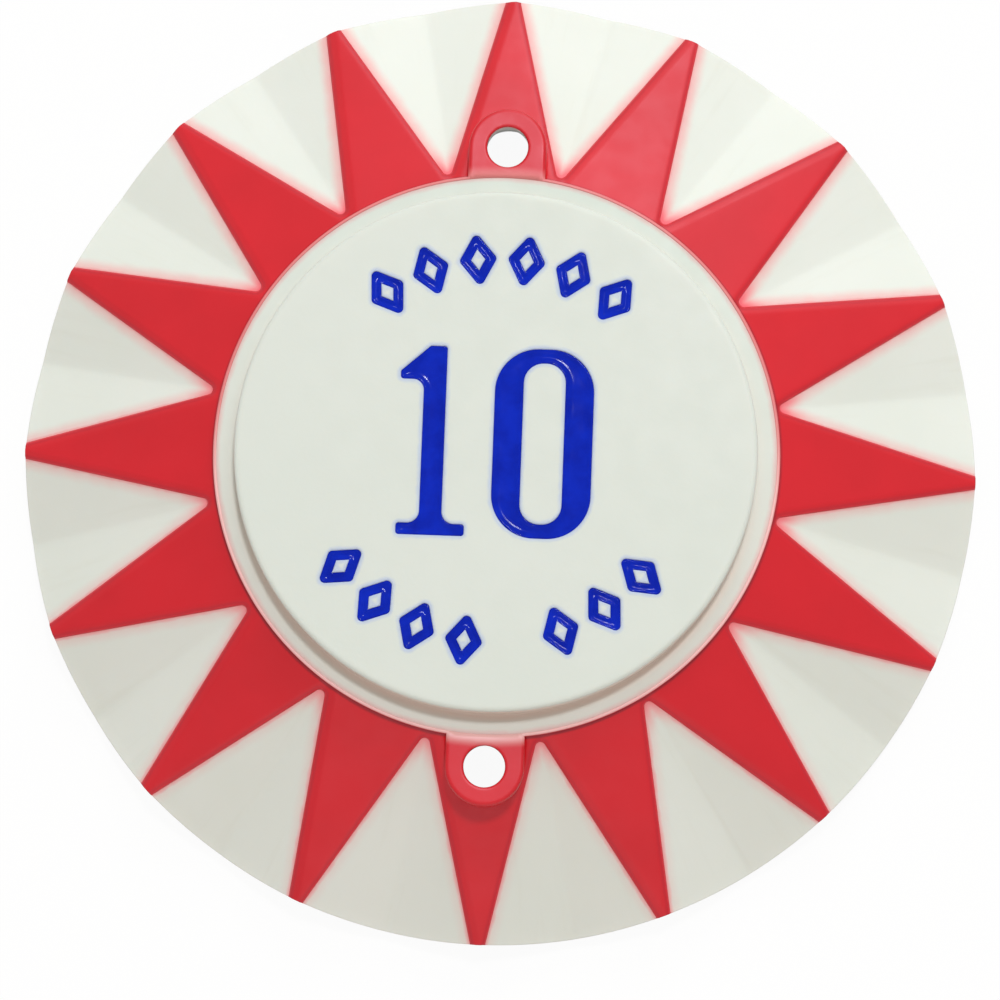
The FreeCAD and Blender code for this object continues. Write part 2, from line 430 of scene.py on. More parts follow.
def top_loops(node):
    """The outlines of a fill's flat top, in plan: its outside first, then any opening in it."""
    mesh = frame["nodes"][node].data
    top = max(v.co.z for v in mesh.vertices)
    key = [(round(v.co.x * key_grid), round(v.co.y * key_grid)) for v in mesh.vertices]
    place = {key[v.index]: (v.co.x / MM, v.co.y / MM) for v in mesh.vertices}
    sides = []
    for face in mesh.polygons:
        if all(abs(mesh.vertices[i].co.z - top) < 1 / key_grid for i in face.vertices):
            corners = [key[i] for i in face.vertices]
            sides += list(zip(corners, corners[1:] + corners[:1]))
    listed = set(sides)
    after = {a: b for a, b in sides if (b, a) not in listed}
    loops = []
    while after:
        start, here = next(iter(after.items()))
        loop = [start]
        del after[start]
        while here != start:
            loop.append(here)
            here = after.pop(here)
        loops.append(np.array([place[k] for k in loop]))
    return sorted(loops, key=lambda points: -np.ptp(points[:, 1]))


def resampled(loop, step):
    """The loop with points added along its long straight edges."""
    rows = []
    for a, b in zip(loop, np.roll(loop, -1, axis=0)):
        count = max(1, round(math.dist(a, b) / step))
        rows += [a + (b - a) * i / count for i in range(count)]
    return np.array(rows)


def widened(loop, distance):
    """The loop moved to its right by a distance, at each corner along the corner's bisector."""
    before = loop - np.roll(loop, 1, axis=0)
    after = np.roll(loop, -1, axis=0) - loop
    before /= np.linalg.norm(before, axis=1)[:, None]
    after /= np.linalg.norm(after, axis=1)[:, None]
    right = np.column_stack([before[:, 1] + after[:, 1], -before[:, 0] - after[:, 0]])
    right /= np.linalg.norm(right, axis=1)[:, None]
    lean = np.clip((right * np.column_stack([before[:, 1], -before[:, 0]])).sum(axis=1), 0.5, 1)
    return loop + right * (distance / lean)[:, None]


def distance_to(points, loops):
    """Distance in plan from each point to the nearest of the loops' edges."""
    best = np.full(len(points), np.inf)
    for loop in loops:
        for a, d in zip(loop, np.roll(loop, -1, axis=0) - loop):
            share = np.clip(((points - a) @ d) / (d @ d), 0, 1)
            best = np.minimum(best, np.linalg.norm(points - a - share[:, None] * d, axis=1))
    return best


fill_names = sorted(name for name in frame["nodes"] if name.endswith("_fill"))
engraved = {name: [resampled(loop, engraved_step) for loop in top_loops(name)] for name in fill_names}


# -------------------------------- the moulding and its paint

PAINTED = 1                # tag of the faces that the paint covers
far = 9.0                  # distance given to what isn't beside any paint or enamel
near_surface = 0.3         # points this little under a surface still count as on it
hole_centres = ((0, hole_offset), (0, -hole_offset))


def fold_points():
    """Rows of points along each fold and valley, close enough across it to show its rounding."""
    rows = []
    for k in range(ray_count):
        for side in (-1, 1):
            turn = (k + 0.5) * ray_angle
            start = polar(valley_start, turn)
            tip = polar(rim_radius, turn + side * math.degrees(tip_turn))
            length = np.linalg.norm(tip - start)
            along = (tip - start) / length
            out = np.array([-along[1], along[0]])
            for offset in fold_rows:
                for reach in np.arange(fold_start, length, fold_step):
                    rows.append(start + along * reach + out * offset)
        along = polar(1, (k + 0.5) * ray_angle)
        out = np.array([-along[1], along[0]])
        for offset in valley_rows:
            for reach in np.arange(drum_radius, rim_radius, valley_step):
                rows.append(along * reach + out * offset)
    return rows


def spread_points(low, high, spacing):
    """Even points in rings between two radii."""
    rows = []
    for radius in np.arange(low, high, spacing):
        count = int(2 * math.pi * radius / spacing)
        rows += [tuple(p) for p in circle(radius, count)]
    return rows


def in_skirt(points, low, high):
    """Those of the points that lie between two radii."""
    points = np.array(points)
    radius = np.hypot(points[:, 0], points[:, 1])
    return points[(radius > low) & (radius < high)]


def rim_angles(ends):
    """Angles round the rim, with one wherever a line ends on it."""
    angles = list(np.arange(0, 360, rim_step))
    exact = [math.degrees(math.atan2(y, x)) % 360 for x, y in ends]
    angles = [a for a in angles if min(abs((a - e + 180) % 360 - 180) for e in exact) > rim_gap]
    return np.array(sorted(angles + exact))


def ring(loop):
    """A loop as a line that comes back to its first point."""
    return np.vstack([loop, loop[:1]])


def rounding(count):
    """Steps round a quarter circle of radius 1, as pairs that run from (0, 1) to (1, 0)."""
    return [(1 - math.cos(turn), 1 - math.sin(turn)) for turn in np.linspace(0, math.pi / 2, count)]


def add_skirt_top(build, angles, paint_edges):
    """The pleats from the rim to the drum, cut along the paint's edge and finer beside it."""
    inner_edge = edge_radius - rim_margin
    beside = [window_outline(k, grow, inner_edge) for grow in paint_rows for k in range(ray_count)]
    haze = [window_outline(k, grow, inner_edge) for grow in haze_rows for k in range(ray_count)]
    top_rim = polar(edge_radius, angles)
    drum = drum_outline(0)
    lines = paint_edges + beside + [ring(drum_outline(foot_row))]
    fixed = np.vstack([top_rim, drum, *lines])
    soft = [p for line in haze for p in line[1:-1]]
    even = spread_points(drum_radius + skirt_margin, rim_radius - skirt_margin, skirt_spacing)
    loose = in_skirt(soft + fold_points() + even, drum_radius + skirt_margin / 2, inner_edge)
    loose = loose[~inside_polygon(loose, drum_outline(2 * fine_spacing))]
    flat, faces = triangulate(top_rim, [drum], lines, thinned(loose, fine_spacing, fixed))
    tags = np.where(paint_depth(flat[faces].mean(axis=1)) > 0, PAINTED, 0)
    build.patch(flat, faces, skirt_height(flat), True, tags)


def add_rim(build, angles):
    """The rim, rounded at the top and at the bottom, and painted at the ends of the rays."""
    height = skirt_height(polar(edge_radius, angles))
    side_radius = rim_radius - rim_skin
    inward = rim_edge - rim_skin
    rows = [at(polar(side_radius - inward * fall, angles), height - rim_edge * rise)
            for rise, fall in rounding(edge_points)]
    rows += [at(polar(side_radius - inward * rise, angles), height - skirt_wall + rim_edge * fall)
             for rise, fall in rounding(edge_points)]
    halfway = polar(rim_radius, angles + np.diff(angles, append=angles[0] + 360) / 2)
    painted = np.where(paint_depth(halfway) > 0, PAINTED, 0)
    for number, (upper, lower) in enumerate(zip(rows, rows[1:])):
        build.strip(lower, upper, painted if number < edge_points - 1 else 0)


def add_drum_side(build):
    """The side of the drum and the ears, up to the ledge and round its edge."""
    drum = drum_outline(0)
    foot = skirt_height(drum)
    rows = [at(drum, foot), at(drum, (foot + ledge_z - drum_edge) / 2)]
    rows += [at(drum_outline(-drum_edge * rise), ledge_z - drum_edge * fall)
             for rise, fall in rounding(drum_edge_points)]
    for lower, upper in zip(rows, rows[1:]):
        build.strip(lower, upper, PAINTED)


def ear_points():
    """Even points on the tops of the two ears."""
    grid = [(x, side * y) for side in (1, -1) for x in np.arange(-ear_radius, ear_radius, ear_spacing)
            for y in np.arange(paint_radius, hole_offset + ear_radius, ear_spacing)]
    points = np.array([p for p in grid if math.hypot(*p) > paint_radius + ear_spacing / 2])
    points = points[inside_polygon(points, drum_outline(-drum_edge - ear_margin))]
    for centre in hole_centres:
        points = points[np.hypot(*(points - centre).T) > hole_radius + hole_edge + ear_margin]
    return points


def add_ledge(build):
    """The ledge and the ears' tops; the ears are painted as far as the drum's edge."""
    foot = circle(disc_radius + disc_foot, disc_points)
    holes = [circle(hole_radius + hole_edge, hole_points, centre) for centre in hole_centres]
    turn = math.degrees(math.asin((ear_radius - drum_edge) / paint_radius))
    arcs = [polar(paint_radius, middle + np.linspace(-turn, turn, arc_points)) for middle in (90, -90)]
    rows = [circle(disc_radius + out, disc_points) for out in ledge_rows]
    rows.append(drum_outline(-drum_edge - foot_row))
    rows += [circle(hole_radius + hole_edge + foot_row, hole_points, centre) for centre in hole_centres]
    lines = arcs + [ring(row) for row in rows]
    flat, faces = triangulate(drum_outline(-drum_edge), [foot, *holes], lines, ear_points())
    outwards = np.hypot(*flat[faces].mean(axis=1).T)
    tags = np.where(outwards > paint_radius - slack, PAINTED, 0)
    build.patch(flat, faces, np.full(len(flat), ledge_z), True, tags)


def add_screw_holes(build):
    """The holes with their painted edges, and the posts' pockets under them."""
    for centre in hole_centres:
        rows = [at(circle(hole_radius + hole_edge * fall, hole_points, centre), ledge_z - hole_edge * rise)
                for rise, fall in rounding(drum_edge_points)]
        hole = circle(hole_radius, hole_points, centre)
        rows += [at(hole, (ledge_z + pocket_z) / 2), at(hole, pocket_z)]
        for number, (upper, lower) in enumerate(zip(rows, rows[1:])):
            build.strip(upper, lower, PAINTED if number < drum_edge_points - 1 else 0)
        pocket = circle(pocket_radius, hole_points, centre)
        under = skirt_height(pocket) - skirt_wall
        ceiling = np.maximum(under + slack, pocket_z)
        build.strip(at(hole, pocket_z), at(pocket, ceiling))
        build.strip(at(pocket, ceiling), at(pocket, under))


def add_disc_side(build):
    """The disc's foot, its side and its rounded upper edge."""
    profile = [(disc_radius + disc_foot * fall, ledge_z + disc_foot * rise)
               for rise, fall in rounding(edge_points)]
    profile.append((disc_radius, (ledge_z + cap_height) / 2))
    profile += [(disc_radius - disc_edge * rise, cap_height - disc_edge * fall)
                for rise, fall in rounding(disc_edge_points)]
    rows = [at(circle(radius, disc_points), z) for radius, z in profile]
    for lower, upper in zip(rows, rows[1:]):
        build.strip(lower, upper)


def add_recess(build, loops):
    """One engraved recess: its rounded lips, its walls and its floor."""
    for loop in loops:
        rows = [at(widened(loop, recess_edge * fall), cap_height - recess_edge * rise)
                for rise, fall in rounding(edge_points)]
        rows.append(at(loop, cap_height - recess_depth))
        for upper, lower in zip(rows, rows[1:]):
            build.strip(lower, upper)
    flat, faces = triangulate(loops[0], loops[1:])
    build.patch(flat, faces, np.full(len(flat), cap_height - recess_depth), True)


def add_disc_face(build):
    """The disc's flat face, with finer rows beside each recess."""
    loops = [loop for group in engraved.values() for loop in group]
    support = circle(disc_radius - disc_edge - row_margin, disc_points)
    lines = [ring(support)]
    lines += [ring(widened(loop, recess_edge + grow)) for grow in (halo_row, 0) for loop in loops]
    rows = [p for loop in loops for grow in recess_rows for p in widened(loop, grow)]
    loose = np.array(rows + list(spread_points(disc_spacing, disc_radius - disc_margin, disc_spacing)))
    loose = loose[distance_to(loose, loops) > recess_margin]
    scattered = thinned(loose, disc_fine_spacing, support)
    flat, faces = triangulate(circle(disc_radius - disc_edge, disc_points), [], lines, scattered)
    middles = flat[faces].mean(axis=1)
    keep = np.ones(len(faces), bool)
    for group in engraved.values():
        keep &= ~inside_polygon(middles, widened(group[0], recess_edge))
    for group in engraved.values():
        for island in group[1:]:
            keep |= inside_polygon(middles, widened(island, recess_edge))
    build.patch(flat, faces[keep], np.full(len(flat), cap_height), True)


def add_underside(build, angles):
    """The pleats' underside, the drum's hollow and the disc's hollow."""
    hollow = circle(hollow_radius, hollow_points)
    bottom_rim = polar(edge_radius, angles)
    pockets = [circle(pocket_radius, hole_points, centre) for centre in hole_centres]
    even = spread_points(hollow_radius + hollow_margin, rim_radius - skirt_margin, underside_spacing)
    loose = in_skirt(fold_points() + even, hollow_radius + row_margin, edge_radius - foot_row)
    for pocket in pockets:
        loose = loose[~inside_polygon(loose, pocket)]
    scattered = thinned(loose, coarse_spacing, np.vstack([bottom_rim, hollow, *pockets]))
    flat, faces = triangulate(bottom_rim, [hollow, *pockets], [], scattered)
    build.patch(flat, faces, skirt_height(flat) - skirt_wall, False)

    profile = [(hollow_radius, skirt_height(hollow) - skirt_wall),
               (hollow_radius, hollow_z - hollow_edge)]
    profile += [(hollow_radius - hollow_edge * rise, hollow_z - hollow_edge * fall)
                for rise, fall in rounding(edge_points)[1:]]
    profile += [(disc_hollow_radius + hollow_edge * fall, hollow_z + hollow_edge * rise)
                for rise, fall in rounding(edge_points)]
    profile += [(disc_hollow_radius - hollow_edge * rise, disc_hollow_z - hollow_edge * fall)
                for rise, fall in rounding(edge_points)]
    rows = [at(circle(radius, hollow_points), z) for radius, z in profile]
    for lower, upper in zip(rows, rows[1:]):
        build.strip(upper, lower)
    ceiling = circle(disc_hollow_radius - hollow_edge, hollow_points)
    flat, faces = triangulate(ceiling, [], [], spread_points(1, disc_hollow_radius - 1, ceiling_spacing))
    build.patch(flat, faces, np.full(len(flat), disc_hollow_z), False)


def make_moulding():
    """The white moulding as one closed mesh, whose painted faces are tagged."""
    build = Builder()
    paint_edges = [window_outline(k, 0, edge_radius) for k in range(ray_count)]
    angles = rim_angles([p for line in paint_edges for p in (line[0], line[-1])])
    add_skirt_top(build, angles, paint_edges)
    add_rim(build, angles)
    add_drum_side(build)
    add_ledge(build)
    add_screw_holes(build)
    add_disc_side(build)
    for loops in engraved.values():
        add_recess(build, loops)
    add_disc_face(build)
    add_underside(build, angles)
    return build.mesh


def make_coat(moulding):
    """The paint: a thin closed skin over the tagged faces, which thins out towards its edges."""
    painted = [face for face in moulding.faces if face.material_index == PAINTED]
    corners = list(dict.fromkeys(v for face in painted for v in face.verts))
    outline = [edge for edge in dict.fromkeys(e for face in painted for e in face.edges)
               if sum(face.material_index == PAINTED for face in edge.link_faces) == 1]
    at_edge = {v for edge in outline for v in edge.verts}
    plan = np.array([tuple(v.co)[:2] for v in corners])
    depth = paint_depth(plan)
    from_foot = np.abs(np.hypot(*plan.T) - drum_radius)
    coat = bmesh.new()
    gap_layer = coat.verts.layers.float.new("edge_gap")
    foot_layer = coat.verts.layers.float.new("foot_gap")
    upper, lower = {}, {}
    for v, inside, foot_gap in zip(corners, depth, from_foot):
        share = coat_least_share + (1 - coat_least_share) * min(max(inside / coat_feather, 0), 1)
        gap = max(inside, coat_least_gap)
        if v in at_edge:
            share = coat_edge_share
            gap = 0.0
        if v.co.z >= ledge_z - drum_edge - near_surface:
            foot_gap = no_foot_gap
        place = v.co + v.normal * coat_thickness * share
        pull = min(1.0, rim_radius / math.hypot(place.x, place.y))
        upper[v] = coat.verts.new((place.x * pull, place.y * pull, place.z))
        lower[v] = coat.verts.new(v.co - v.normal * coat_bite)
        for made in (upper[v], lower[v]):
            made[gap_layer] = gap
            made[foot_layer] = foot_gap
    for face in painted:
        coat.faces.new([upper[v] for v in face.verts])
        coat.faces.new([lower[v] for v in reversed(face.verts)])
    for edge in outline:
        a, b = edge.verts
        coat.faces.new([lower[a], lower[b], upper[b], upper[a]])
    bmesh.ops.recalc_face_normals(coat, faces=coat.faces)
    for face in coat.faces:
        face.smooth = True
    return coat


def add_gaps(moulding):
    """Stores at each vertex how far it is from the paint and from the enamel, in millimetres."""
    moulding.verts.ensure_lookup_table()
    paint_layer = moulding.verts.layers.float.new("paint_gap")
    enamel_layer = moulding.verts.layers.float.new("enamel_gap")
    places = np.array([tuple(v.co) for v in moulding.verts])
    plan, height = places[:, :2], places[:, 2]
    radius = np.hypot(*plan.T)
    on_skirt = (radius > drum_radius - slack) & (height > skirt_height(plan) - near_surface)
    paint = np.where(on_skirt, np.maximum(-paint_depth(plan), 0), far)
    on_ledge = (np.abs(height - ledge_z) < drum_edge) & (radius > disc_radius)
    paint = np.where(on_ledge, np.maximum(paint_radius - radius, 0), paint)
    for centre in hole_centres:
        in_hole = np.hypot(*(plan - centre).T) < hole_radius + slack
        paint = np.where(in_hole, ledge_z - height, paint)
    on_disc = height > cap_height - recess_edge - slack
    loops = [loop for group in engraved.values() for loop in group]
    enamel = np.full(len(plan), far)
    enamel[on_disc] = distance_to(plan[on_disc], loops)
    for v, p, e in zip(moulding.verts, paint, enamel):
        v[paint_layer] = p
        v[enamel_layer] = e


def make_enamel(loops):
    """Enamel in one recess: it climbs the walls a little and lies lower and uneven in the middle."""
    build = Builder()
    low, high = loops[0].min(axis=0), loops[0].max(axis=0)
    columns, rows = (np.arange(low[i], high[i], enamel_step) for i in (0, 1))
    grid = [(x, y) for x in columns for y in rows]
    edges = [resampled(loop, enamel_step) for loop in loops]
    scattered = thinned(grid, enamel_spacing, np.vstack(edges))
    flat, faces = triangulate(edges[0], edges[1:], [], scattered)
    places = [Vector((x * enamel_wave_scale, y * enamel_wave_scale, enamel_wave_slice)) for x, y in flat]
    wave = enamel_wave * np.array([noise.noise(place) for place in places])
    climb = np.exp(-(distance_to(flat, loops) / enamel_meniscus) ** 2)
    sink = enamel_mid_sink - (enamel_mid_sink - enamel_edge_sink) * climb + wave * (1 - climb)
    floor_z = cap_height - recess_depth + enamel_clearance
    build.patch(flat, faces, cap_height - sink, True)
    build.patch(flat, faces, np.full(len(flat), floor_z), False)
    for edge in edges:
        build.strip(at(edge, floor_z), at(edge, cap_height - enamel_edge_sink))
    bmesh.ops.recalc_face_normals(build.mesh, faces=build.mesh.faces)
    return build.mesh


# -------------------------------- materials


def linear(red, green, blue):
    """A colour written as 0 to 255 in sRGB."""
    parts = [c / 255 for c in (red, green, blue)]
    return (*[c / 12.92 if c <= 0.04045 else ((c + 0.055) / 1.055) ** 2.4 for c in parts], 1.0)


class Paint:
    """A material under construction: short calls add nodes and link them."""

    def __init__(self, name):
        self.material = bpy.data.materials.new(name)
        self.material.use_nodes = True
        self.tree = self.material.node_tree
        self.shader = self.tree.nodes["Principled BSDF"]
        self.place = self.tree.nodes.new("ShaderNodeTexCoord").outputs["Object"]

    def put(self, value, socket):
        """Links a node's output to a socket, or sets the socket to a plain value."""
        if isinstance(value, bpy.types.NodeSocket):
            self.tree.links.new(value, socket)
        else:
            socket.default_value = value

    def set(self, **values):
        """Sets the shader's own sockets; an underscore in a name stands for a space."""
        for name, value in values.items():
            self.shader.inputs[name.replace("_", " ")].default_value = value

    def math(self, operation, first, second=0.0):
        node = self.tree.nodes.new("ShaderNodeMath")
        node.operation = operation
        self.put(first, node.inputs[0])
        self.put(second, node.inputs[1])
        return node.outputs[0]

    def product(self, first, *others):
        for other in others:
            first = self.math("MULTIPLY", first, other)
        return first

    def noise(self, scale, detail, rough=0.5, place=None):
        node = self.tree.nodes.new("ShaderNodeTexNoise")
        node.inputs["Scale"].default_value = scale
        node.inputs["Detail"].default_value = detail
        node.inputs["Roughness"].default_value = rough
        self.tree.links.new(self.place if place is None else place, node.inputs["Vector"])
        return node.outputs["Fac"]

    def ramp(self, value, low, high, start=0.0, end=1.0):
        """Runs smoothly from start to end as value goes from low to high."""
        node = self.tree.nodes.new("ShaderNodeMapRange")
        node.interpolation_type = "SMOOTHSTEP"
        self.put(value, node.inputs["Value"])
        for socket, number in zip(("From Min", "From Max", "To Min", "To Max"), (low, high, start, end)):
            node.inputs[socket].default_value = number
        return node.outputs["Result"]

    def clouds(self, scale, detail, start=0.0, end=1.0, rough=0.5):
        """Noise stretched so that it fills the range from start to end."""
        return self.ramp(self.noise(scale, detail, rough), 0.3, 0.7, start, end)

    def mixed(self, share, first, second):
        node = self.tree.nodes.new("ShaderNodeMix")
        node.data_type = "RGBA"
        self.put(share, node.inputs["Factor"])
        self.put(first, node.inputs["A"])
        self.put(second, node.inputs["B"])
        return node.outputs["Result"]

    def stored(self, name):
        """A distance that is stored on the mesh, in millimetres."""
        node = self.tree.nodes.new("ShaderNodeAttribute")
        node.attribute_name = name
        return node.outputs["Fac"]

    def ragged(self, name, scale, play):
        """A stored distance made uneven by as much as play either way."""
        return self.math("ADD", self.stored(name), self.clouds(scale, 2, -play, play))

    def bump(self, scale, detail, distance, strength):
        """Noise in the surface's slope, on top of any bump that is already there."""
        node = self.tree.nodes.new("ShaderNodeBump")
        node.inputs["Strength"].default_value = strength
        node.inputs["Distance"].default_value = distance
        self.tree.links.new(self.noise(scale, detail), node.inputs["Height"])
        before = self.shader.inputs["Normal"]
        if before.links:
            self.tree.links.new(before.links[0].from_socket, node.inputs["Normal"])
        self.tree.links.new(node.outputs["Normal"], before)

    def position(self):
        """The object's own x, y and z in metres, and the distance from its axis."""
        split = self.tree.nodes.new("ShaderNodeSeparateXYZ")
        self.tree.links.new(self.place, split.inputs[0])
        x, y, z = split.outputs
        squares = self.math("ADD", self.math("MULTIPLY", x, x), self.math("MULTIPLY", y, y))
        return x, y, z, self.math("SQRT", squares)

    def spokes(self, x, y, radius, turns, along):
        """Texture coordinates that run round the cap and out from its middle."""
        join = self.tree.nodes.new("ShaderNodeCombineXYZ")
        self.put(self.math("MULTIPLY", self.math("ARCTAN2", y, x), turns), join.inputs[0])
        self.put(self.math("MULTIPLY", radius, along), join.inputs[1])
        return join.outputs[0]


def white_styrene():
    look = Paint("white_styrene")
    x, y, z, radius = look.position()
    on_skirt = look.ramp(radius, (drum_radius - 0.1) * MM, (drum_radius + 0.3) * MM)
    on_drum = look.ramp(z, (ledge_z - 0.3) * MM, (ledge_z - 0.05) * MM)

    # Cloudy white with faint streaks down the skirt
    colour = look.mixed(look.clouds(55, 4), linear(224, 228, 220), linear(220, 225, 216))
    streak = look.ramp(look.noise(1.0, 5, 0.6, look.spokes(x, y, radius, 26, 60)), 0.52, 0.72)
    colour = look.mixed(look.product(streak, on_skirt, 0.22), colour, linear(212, 214, 202))

    # Pink beside the paint: wider towards +Y, and at the windows' points next to the drum
    gap = look.ragged("paint_gap", 700, 0.05)
    wider_to_plus_y = look.ramp(y, -rim_radius * MM, rim_radius * MM, 0.3, 1.0)
    near = look.ramp(gap, 0.0, 0.45, 0.6, 0.0)
    wide = look.product(look.ramp(gap, 0.0, 1.15, 0.5, 0.0), wider_to_plus_y, on_skirt)
    at_drum = look.ramp(radius, drum_radius * MM, (drum_radius + 3.5) * MM, 0.7, 0.0)
    point = look.product(look.ramp(gap, 0.0, 1.3, 1.0, 0.0), at_drum, on_skirt)
    haze = look.math("MAXIMUM", near, look.math("ADD", wide, point))
    colour = look.mixed(haze, colour, linear(244, 106, 116))

    # Painted light and shade: the ledge is tinted pinker towards -Y, and the whole top of the drum is
    # painted a shade darker
    lower_side = look.ramp(y, -drum_radius * MM, 0.7 * drum_radius * MM, 1.0, 0.0)
    on_ledge = look.product(look.ramp(look.stored("paint_gap"), 1.8, 3.0, 1.0, 0.0), lower_side,
                            look.math("SUBTRACT", 1.0, on_skirt))
    colour = look.mixed(on_ledge, colour, look.mixed(0.16, colour, linear(232, 140, 142)))
    colour = look.mixed(look.product(on_drum, 0.5), colour, linear(196, 205, 196))

    # Warm light that comes through the plastic where the disc meets the ledge
    under_edge = look.ramp(z, (cap_height - 0.5) * MM, (cap_height - 0.2) * MM, 1.0, 0.0)
    beside_disc = look.product(
        look.ramp(radius, (disc_radius - 0.6) * MM, (disc_radius - 0.1) * MM),
        look.ramp(radius, (disc_radius + 0.2) * MM, (disc_radius + 0.9) * MM, 1.0, 0.0))
    at_bottom = look.ramp(y, -0.85 * drum_radius * MM, 0.0, 1.0, 0.2)
    warm = look.product(under_edge, beside_disc, on_drum, at_bottom, 0.25)
    colour = look.mixed(warm, colour, linear(255, 196, 172))

    # Painted light: a pale blue glow on the plastic beside the enamel
    painted_blue_glow = look.ramp(look.ragged("enamel_gap", 1100, 0.05), 0.04, 0.42, 0.5, 0.0)
    colour = look.mixed(painted_blue_glow, colour, linear(150, 172, 222))

    # A few grey specks
    cells = look.tree.nodes.new("ShaderNodeTexVoronoi")
    cells.inputs["Scale"].default_value = 210
    look.tree.links.new(look.place, cells.inputs["Vector"])
    dot = look.ramp(cells.outputs["Distance"], 0.022, 0.04, 1.0, 0.0)
    chosen = look.math("GREATER_THAN", look.noise(130, 1), 0.62)
    colour = look.mixed(look.product(dot, chosen, 0.45), colour, linear(150, 140, 128))

    look.put(colour, look.shader.inputs["Base Color"])
    look.put(look.clouds(400, 4, 0.42, 0.5), look.shader.inputs["Roughness"])
    look.set(Specular_IOR_Level=0.35, Subsurface_Weight=0.2, Subsurface_Radius=(1.0, 0.8, 0.65),
             Subsurface_Scale=0.0018)
    look.bump(90, 3, 0.00010, 0.35)
    look.bump(2600, 2, 0.00001, 0.5)
    return look.material


def red_paint():
    look = Paint("red_paint")
    _, y, z, radius = look.position()
    colour = look.mixed(look.clouds(120, 5), linear(205, 13, 25), linear(197, 10, 21))

    # Thin at its very edge, with a darker bead just inside it
    gap = look.ragged("edge_gap", 700, 0.03)
    colour = look.mixed(look.ramp(gap, 0.0, 0.2, 0.35, 0.0), colour, linear(218, 66, 80))
    bead = look.product(look.ramp(gap, 0.1, 0.24), look.ramp(gap, 0.24, 0.5, 1.0, 0.0), 0.45)
    colour = look.mixed(bead, colour, linear(170, 20, 34))

    # Painted shade: a dark line in the corner at the drum's foot
    painted_foot_shade = look.ramp(look.stored("foot_gap"), 0.1, 0.34, 0.6, 0.0)
    colour = look.mixed(painted_foot_shade, colour, linear(120, 12, 26))

    # Worn thin at the roots of the ears, more so on the ear towards -Y
    on_top = look.ramp(z, (ledge_z - 0.12) * MM, (ledge_z - 0.04) * MM)
    at_root = look.ramp(radius, paint_radius * MM, (drum_radius + 1.0) * MM, 0.9, 0.0)
    lower_ear = look.ramp(y, -5 * MM, 5 * MM, 1.0, 0.4)
    colour = look.mixed(look.product(on_top, at_root, lower_ear), colour, linear(244, 200, 196))

    look.put(colour, look.shader.inputs["Base Color"])
    look.put(look.clouds(500, 4, 0.38, 0.45), look.shader.inputs["Roughness"])
    look.set(Specular_IOR_Level=0.5, Specular_Tint=(1.0, 0.86, 1.0, 1.0))
    look.bump(110, 3, 0.00014, 0.22)
    look.bump(1500, 3, 0.000014, 0.5)
    return look.material


def blue_enamel():
    look = Paint("blue_enamel")
    colour = look.mixed(look.clouds(420, 5, rough=0.6), linear(8, 40, 184), linear(5, 30, 160))
    look.put(colour, look.shader.inputs["Base Color"])
    look.put(look.clouds(700, 3, 0.07, 0.12), look.shader.inputs["Roughness"])
    look.set(Specular_IOR_Level=0.07)
    look.bump(600, 2, 0.00003, 0.4)
    return look.material


# -------------------------------- pieces


def show_piece(mesh_data, name, material, node):
    piece = object_from(mesh_data, name, material)
    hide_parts(node)


moulding = make_moulding()
bmesh.ops.recalc_face_normals(moulding, faces=moulding.faces)
moulding.normal_update()
coat = make_coat(moulding)
add_gaps(moulding)
for face in moulding.faces:
    face.material_index = 0
show_piece(moulding, "moulded_cap", white_styrene(), "cap_shell")
show_piece(coat, "red_star_paint", red_paint(), "star_coat")
blue = blue_enamel()
for fill, loops in engraved.items():
    enamel = make_enamel(loops)
    show_piece(enamel, fill.replace("_fill", "_enamel"), blue, fill)


# -------------------------------- floor, light and camera

floor_size = 3.0
floor_squares = 24
floor_drop = 0.00002       # metres from the rim down to the floor, so that they share no plane
floor_share = 0.94         # how much of the floor's brightness is its own, as the camera sees it
lamp_distance = 0.9        # this and the floor's size are in metres
white_light = (1.0, 1.0, 1.0)
warm_light = (1.0, 0.74, 0.64)
room_glow = 0.4
room_tint = (1.0, 0.995, 0.985, 1.0)
camera_aim = Vector((0.158, -2.547, 2.0)) * MM
camera_distance = 317.29 * MM
camera_tilt = 6.907
camera_azimuth = -76.08
camera_roll = -11.85
camera_lens = 136.1
camera_nearest = 0.01


def direction(tilt, azimuth):
    """Towards a place, by its tilt from straight up and its azimuth from +X towards +Y."""
    tilt, azimuth = math.radians(tilt), math.radians(azimuth)
    level = math.sin(tilt)
    return Vector((level * math.cos(azimuth), level * math.sin(azimuth), math.cos(tilt)))


def seen_directly(tree):
    """1 for what the camera sees, straight or mirrored or through something, and 0 for other light."""
    path = tree.nodes.new("ShaderNodeLightPath")
    seen = path.outputs["Is Camera Ray"]
    for name in ("Is Glossy Ray", "Is Transmission Ray"):
        either = tree.nodes.new("ShaderNodeMath")
        either.operation = "MAXIMUM"
        tree.links.new(seen, either.inputs[0])
        tree.links.new(path.outputs[name], either.inputs[1])
        seen = either.outputs[0]
    return seen


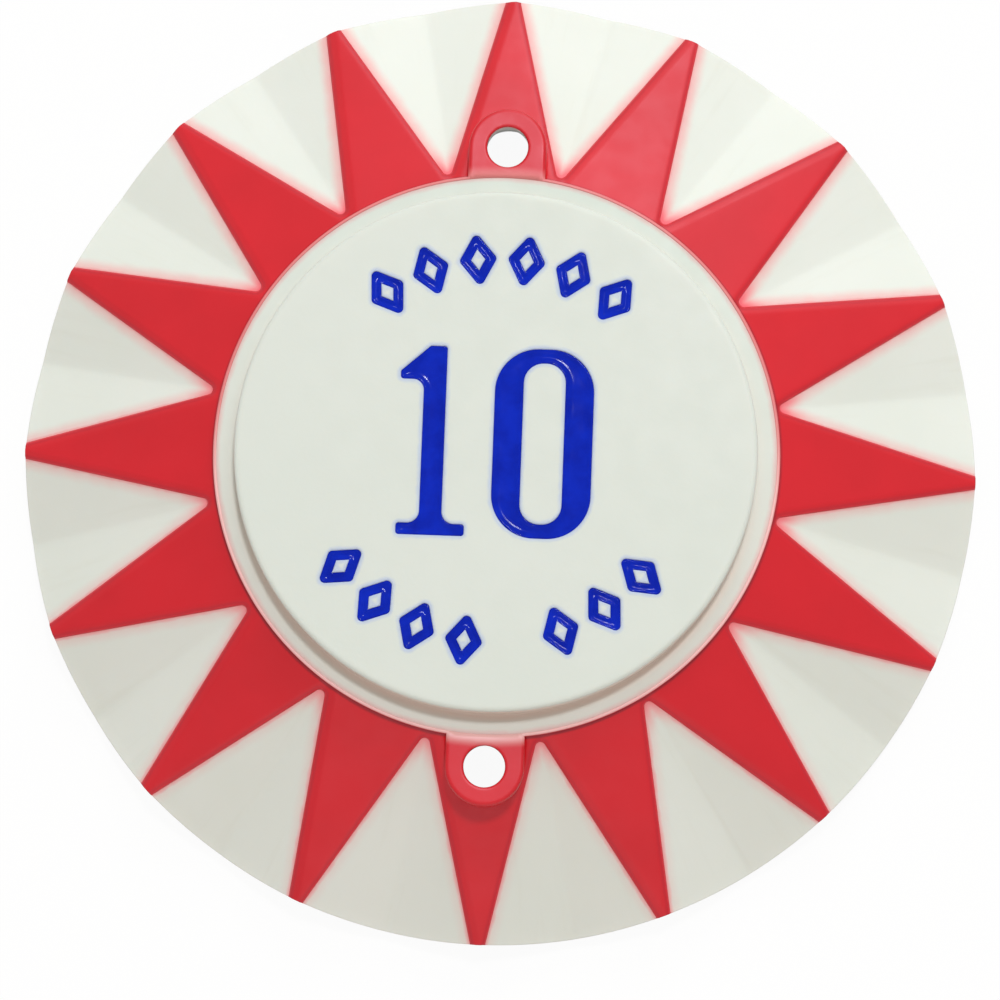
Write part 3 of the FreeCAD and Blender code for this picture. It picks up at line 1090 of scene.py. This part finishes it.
def make_floor():
    """A pale floor that is nearly white to the camera and still takes the cap's shadow."""
    ground = bmesh.new()
    bmesh.ops.create_grid(ground, x_segments=floor_squares, y_segments=floor_squares, size=floor_size / 2)
    mesh = bpy.data.meshes.new("floor")
    ground.to_mesh(mesh)
    floor = bpy.data.objects.new("floor", mesh)
    floor.location.z = cad_low.z - floor_drop
    bpy.context.scene.collection.objects.link(floor)
    look = Paint("pale_floor")
    tree = look.tree
    colour = look.mixed(look.clouds(6, 2), linear(238, 238, 237), linear(243, 243, 242))
    look.put(colour, look.shader.inputs["Base Color"])
    look.set(Roughness=0.9, Specular_IOR_Level=0.1)
    glow = tree.nodes.new("ShaderNodeEmission")
    mix = tree.nodes.new("ShaderNodeMixShader")
    look.put(look.math("MULTIPLY", seen_directly(tree), floor_share), mix.inputs[0])
    tree.links.new(look.shader.outputs[0], mix.inputs[1])
    tree.links.new(glow.outputs[0], mix.inputs[2])
    tree.links.new(mix.outputs[0], tree.nodes["Material Output"].inputs["Surface"])
    mesh.materials.append(look.material)


def make_world():
    """An even pale room, seen as plain white by the camera."""
    world = bpy.data.worlds.new("studio")
    bpy.context.scene.world = world
    world.use_nodes = True
    tree = world.node_tree
    background = tree.nodes["Background"]
    background.inputs["Color"].default_value = room_tint
    level = tree.nodes.new("ShaderNodeMapRange")
    tree.links.new(seen_directly(tree), level.inputs["Value"])
    level.inputs["To Min"].default_value = room_glow
    tree.links.new(level.outputs["Result"], background.inputs["Strength"])


def make_lamp(name, shape, size, power, tilt, azimuth, colour):
    """A lamp that shines on the cap's middle; size in metres and power in watts."""
    light = bpy.data.lights.new(name, "AREA")
    light.color = colour
    light.shape = shape
    light.size = size
    light.energy = power
    lamp = bpy.data.objects.new(name, light)
    towards = direction(tilt, azimuth)
    lamp.location = towards * lamp_distance
    lamp.rotation_mode = "QUATERNION"
    lamp.rotation_quaternion = (-towards).to_track_quat("-Z", "Y")
    bpy.context.scene.collection.objects.link(lamp)


def make_camera():
    lens = bpy.data.cameras.new("camera")
    lens.lens = camera_lens
    lens.clip_start = camera_nearest
    camera = bpy.data.objects.new("camera", lens)
    back = direction(camera_tilt, camera_azimuth)
    camera.location = camera_aim + back * camera_distance
    camera.rotation_mode = "QUATERNION"
    roll = Quaternion((0, 0, 1), math.radians(camera_roll))
    camera.rotation_quaternion = (-back).to_track_quat("-Z", "Y") @ roll
    bpy.context.scene.collection.objects.link(camera)
    bpy.context.scene.camera = camera


make_floor()
make_world()
make_lamp("key", "DISK", size=0.12, power=3.3, tilt=17.5, azimuth=71, colour=white_light)
make_lamp("window", "SQUARE", size=0.5, power=3.1, tilt=57, azimuth=79, colour=white_light)
make_lamp("fill", "SQUARE", size=0.8, power=1.5, tilt=48, azimuth=-95, colour=warm_light)
make_camera()
bpy.context.scene.view_settings.view_transform = "Standard"
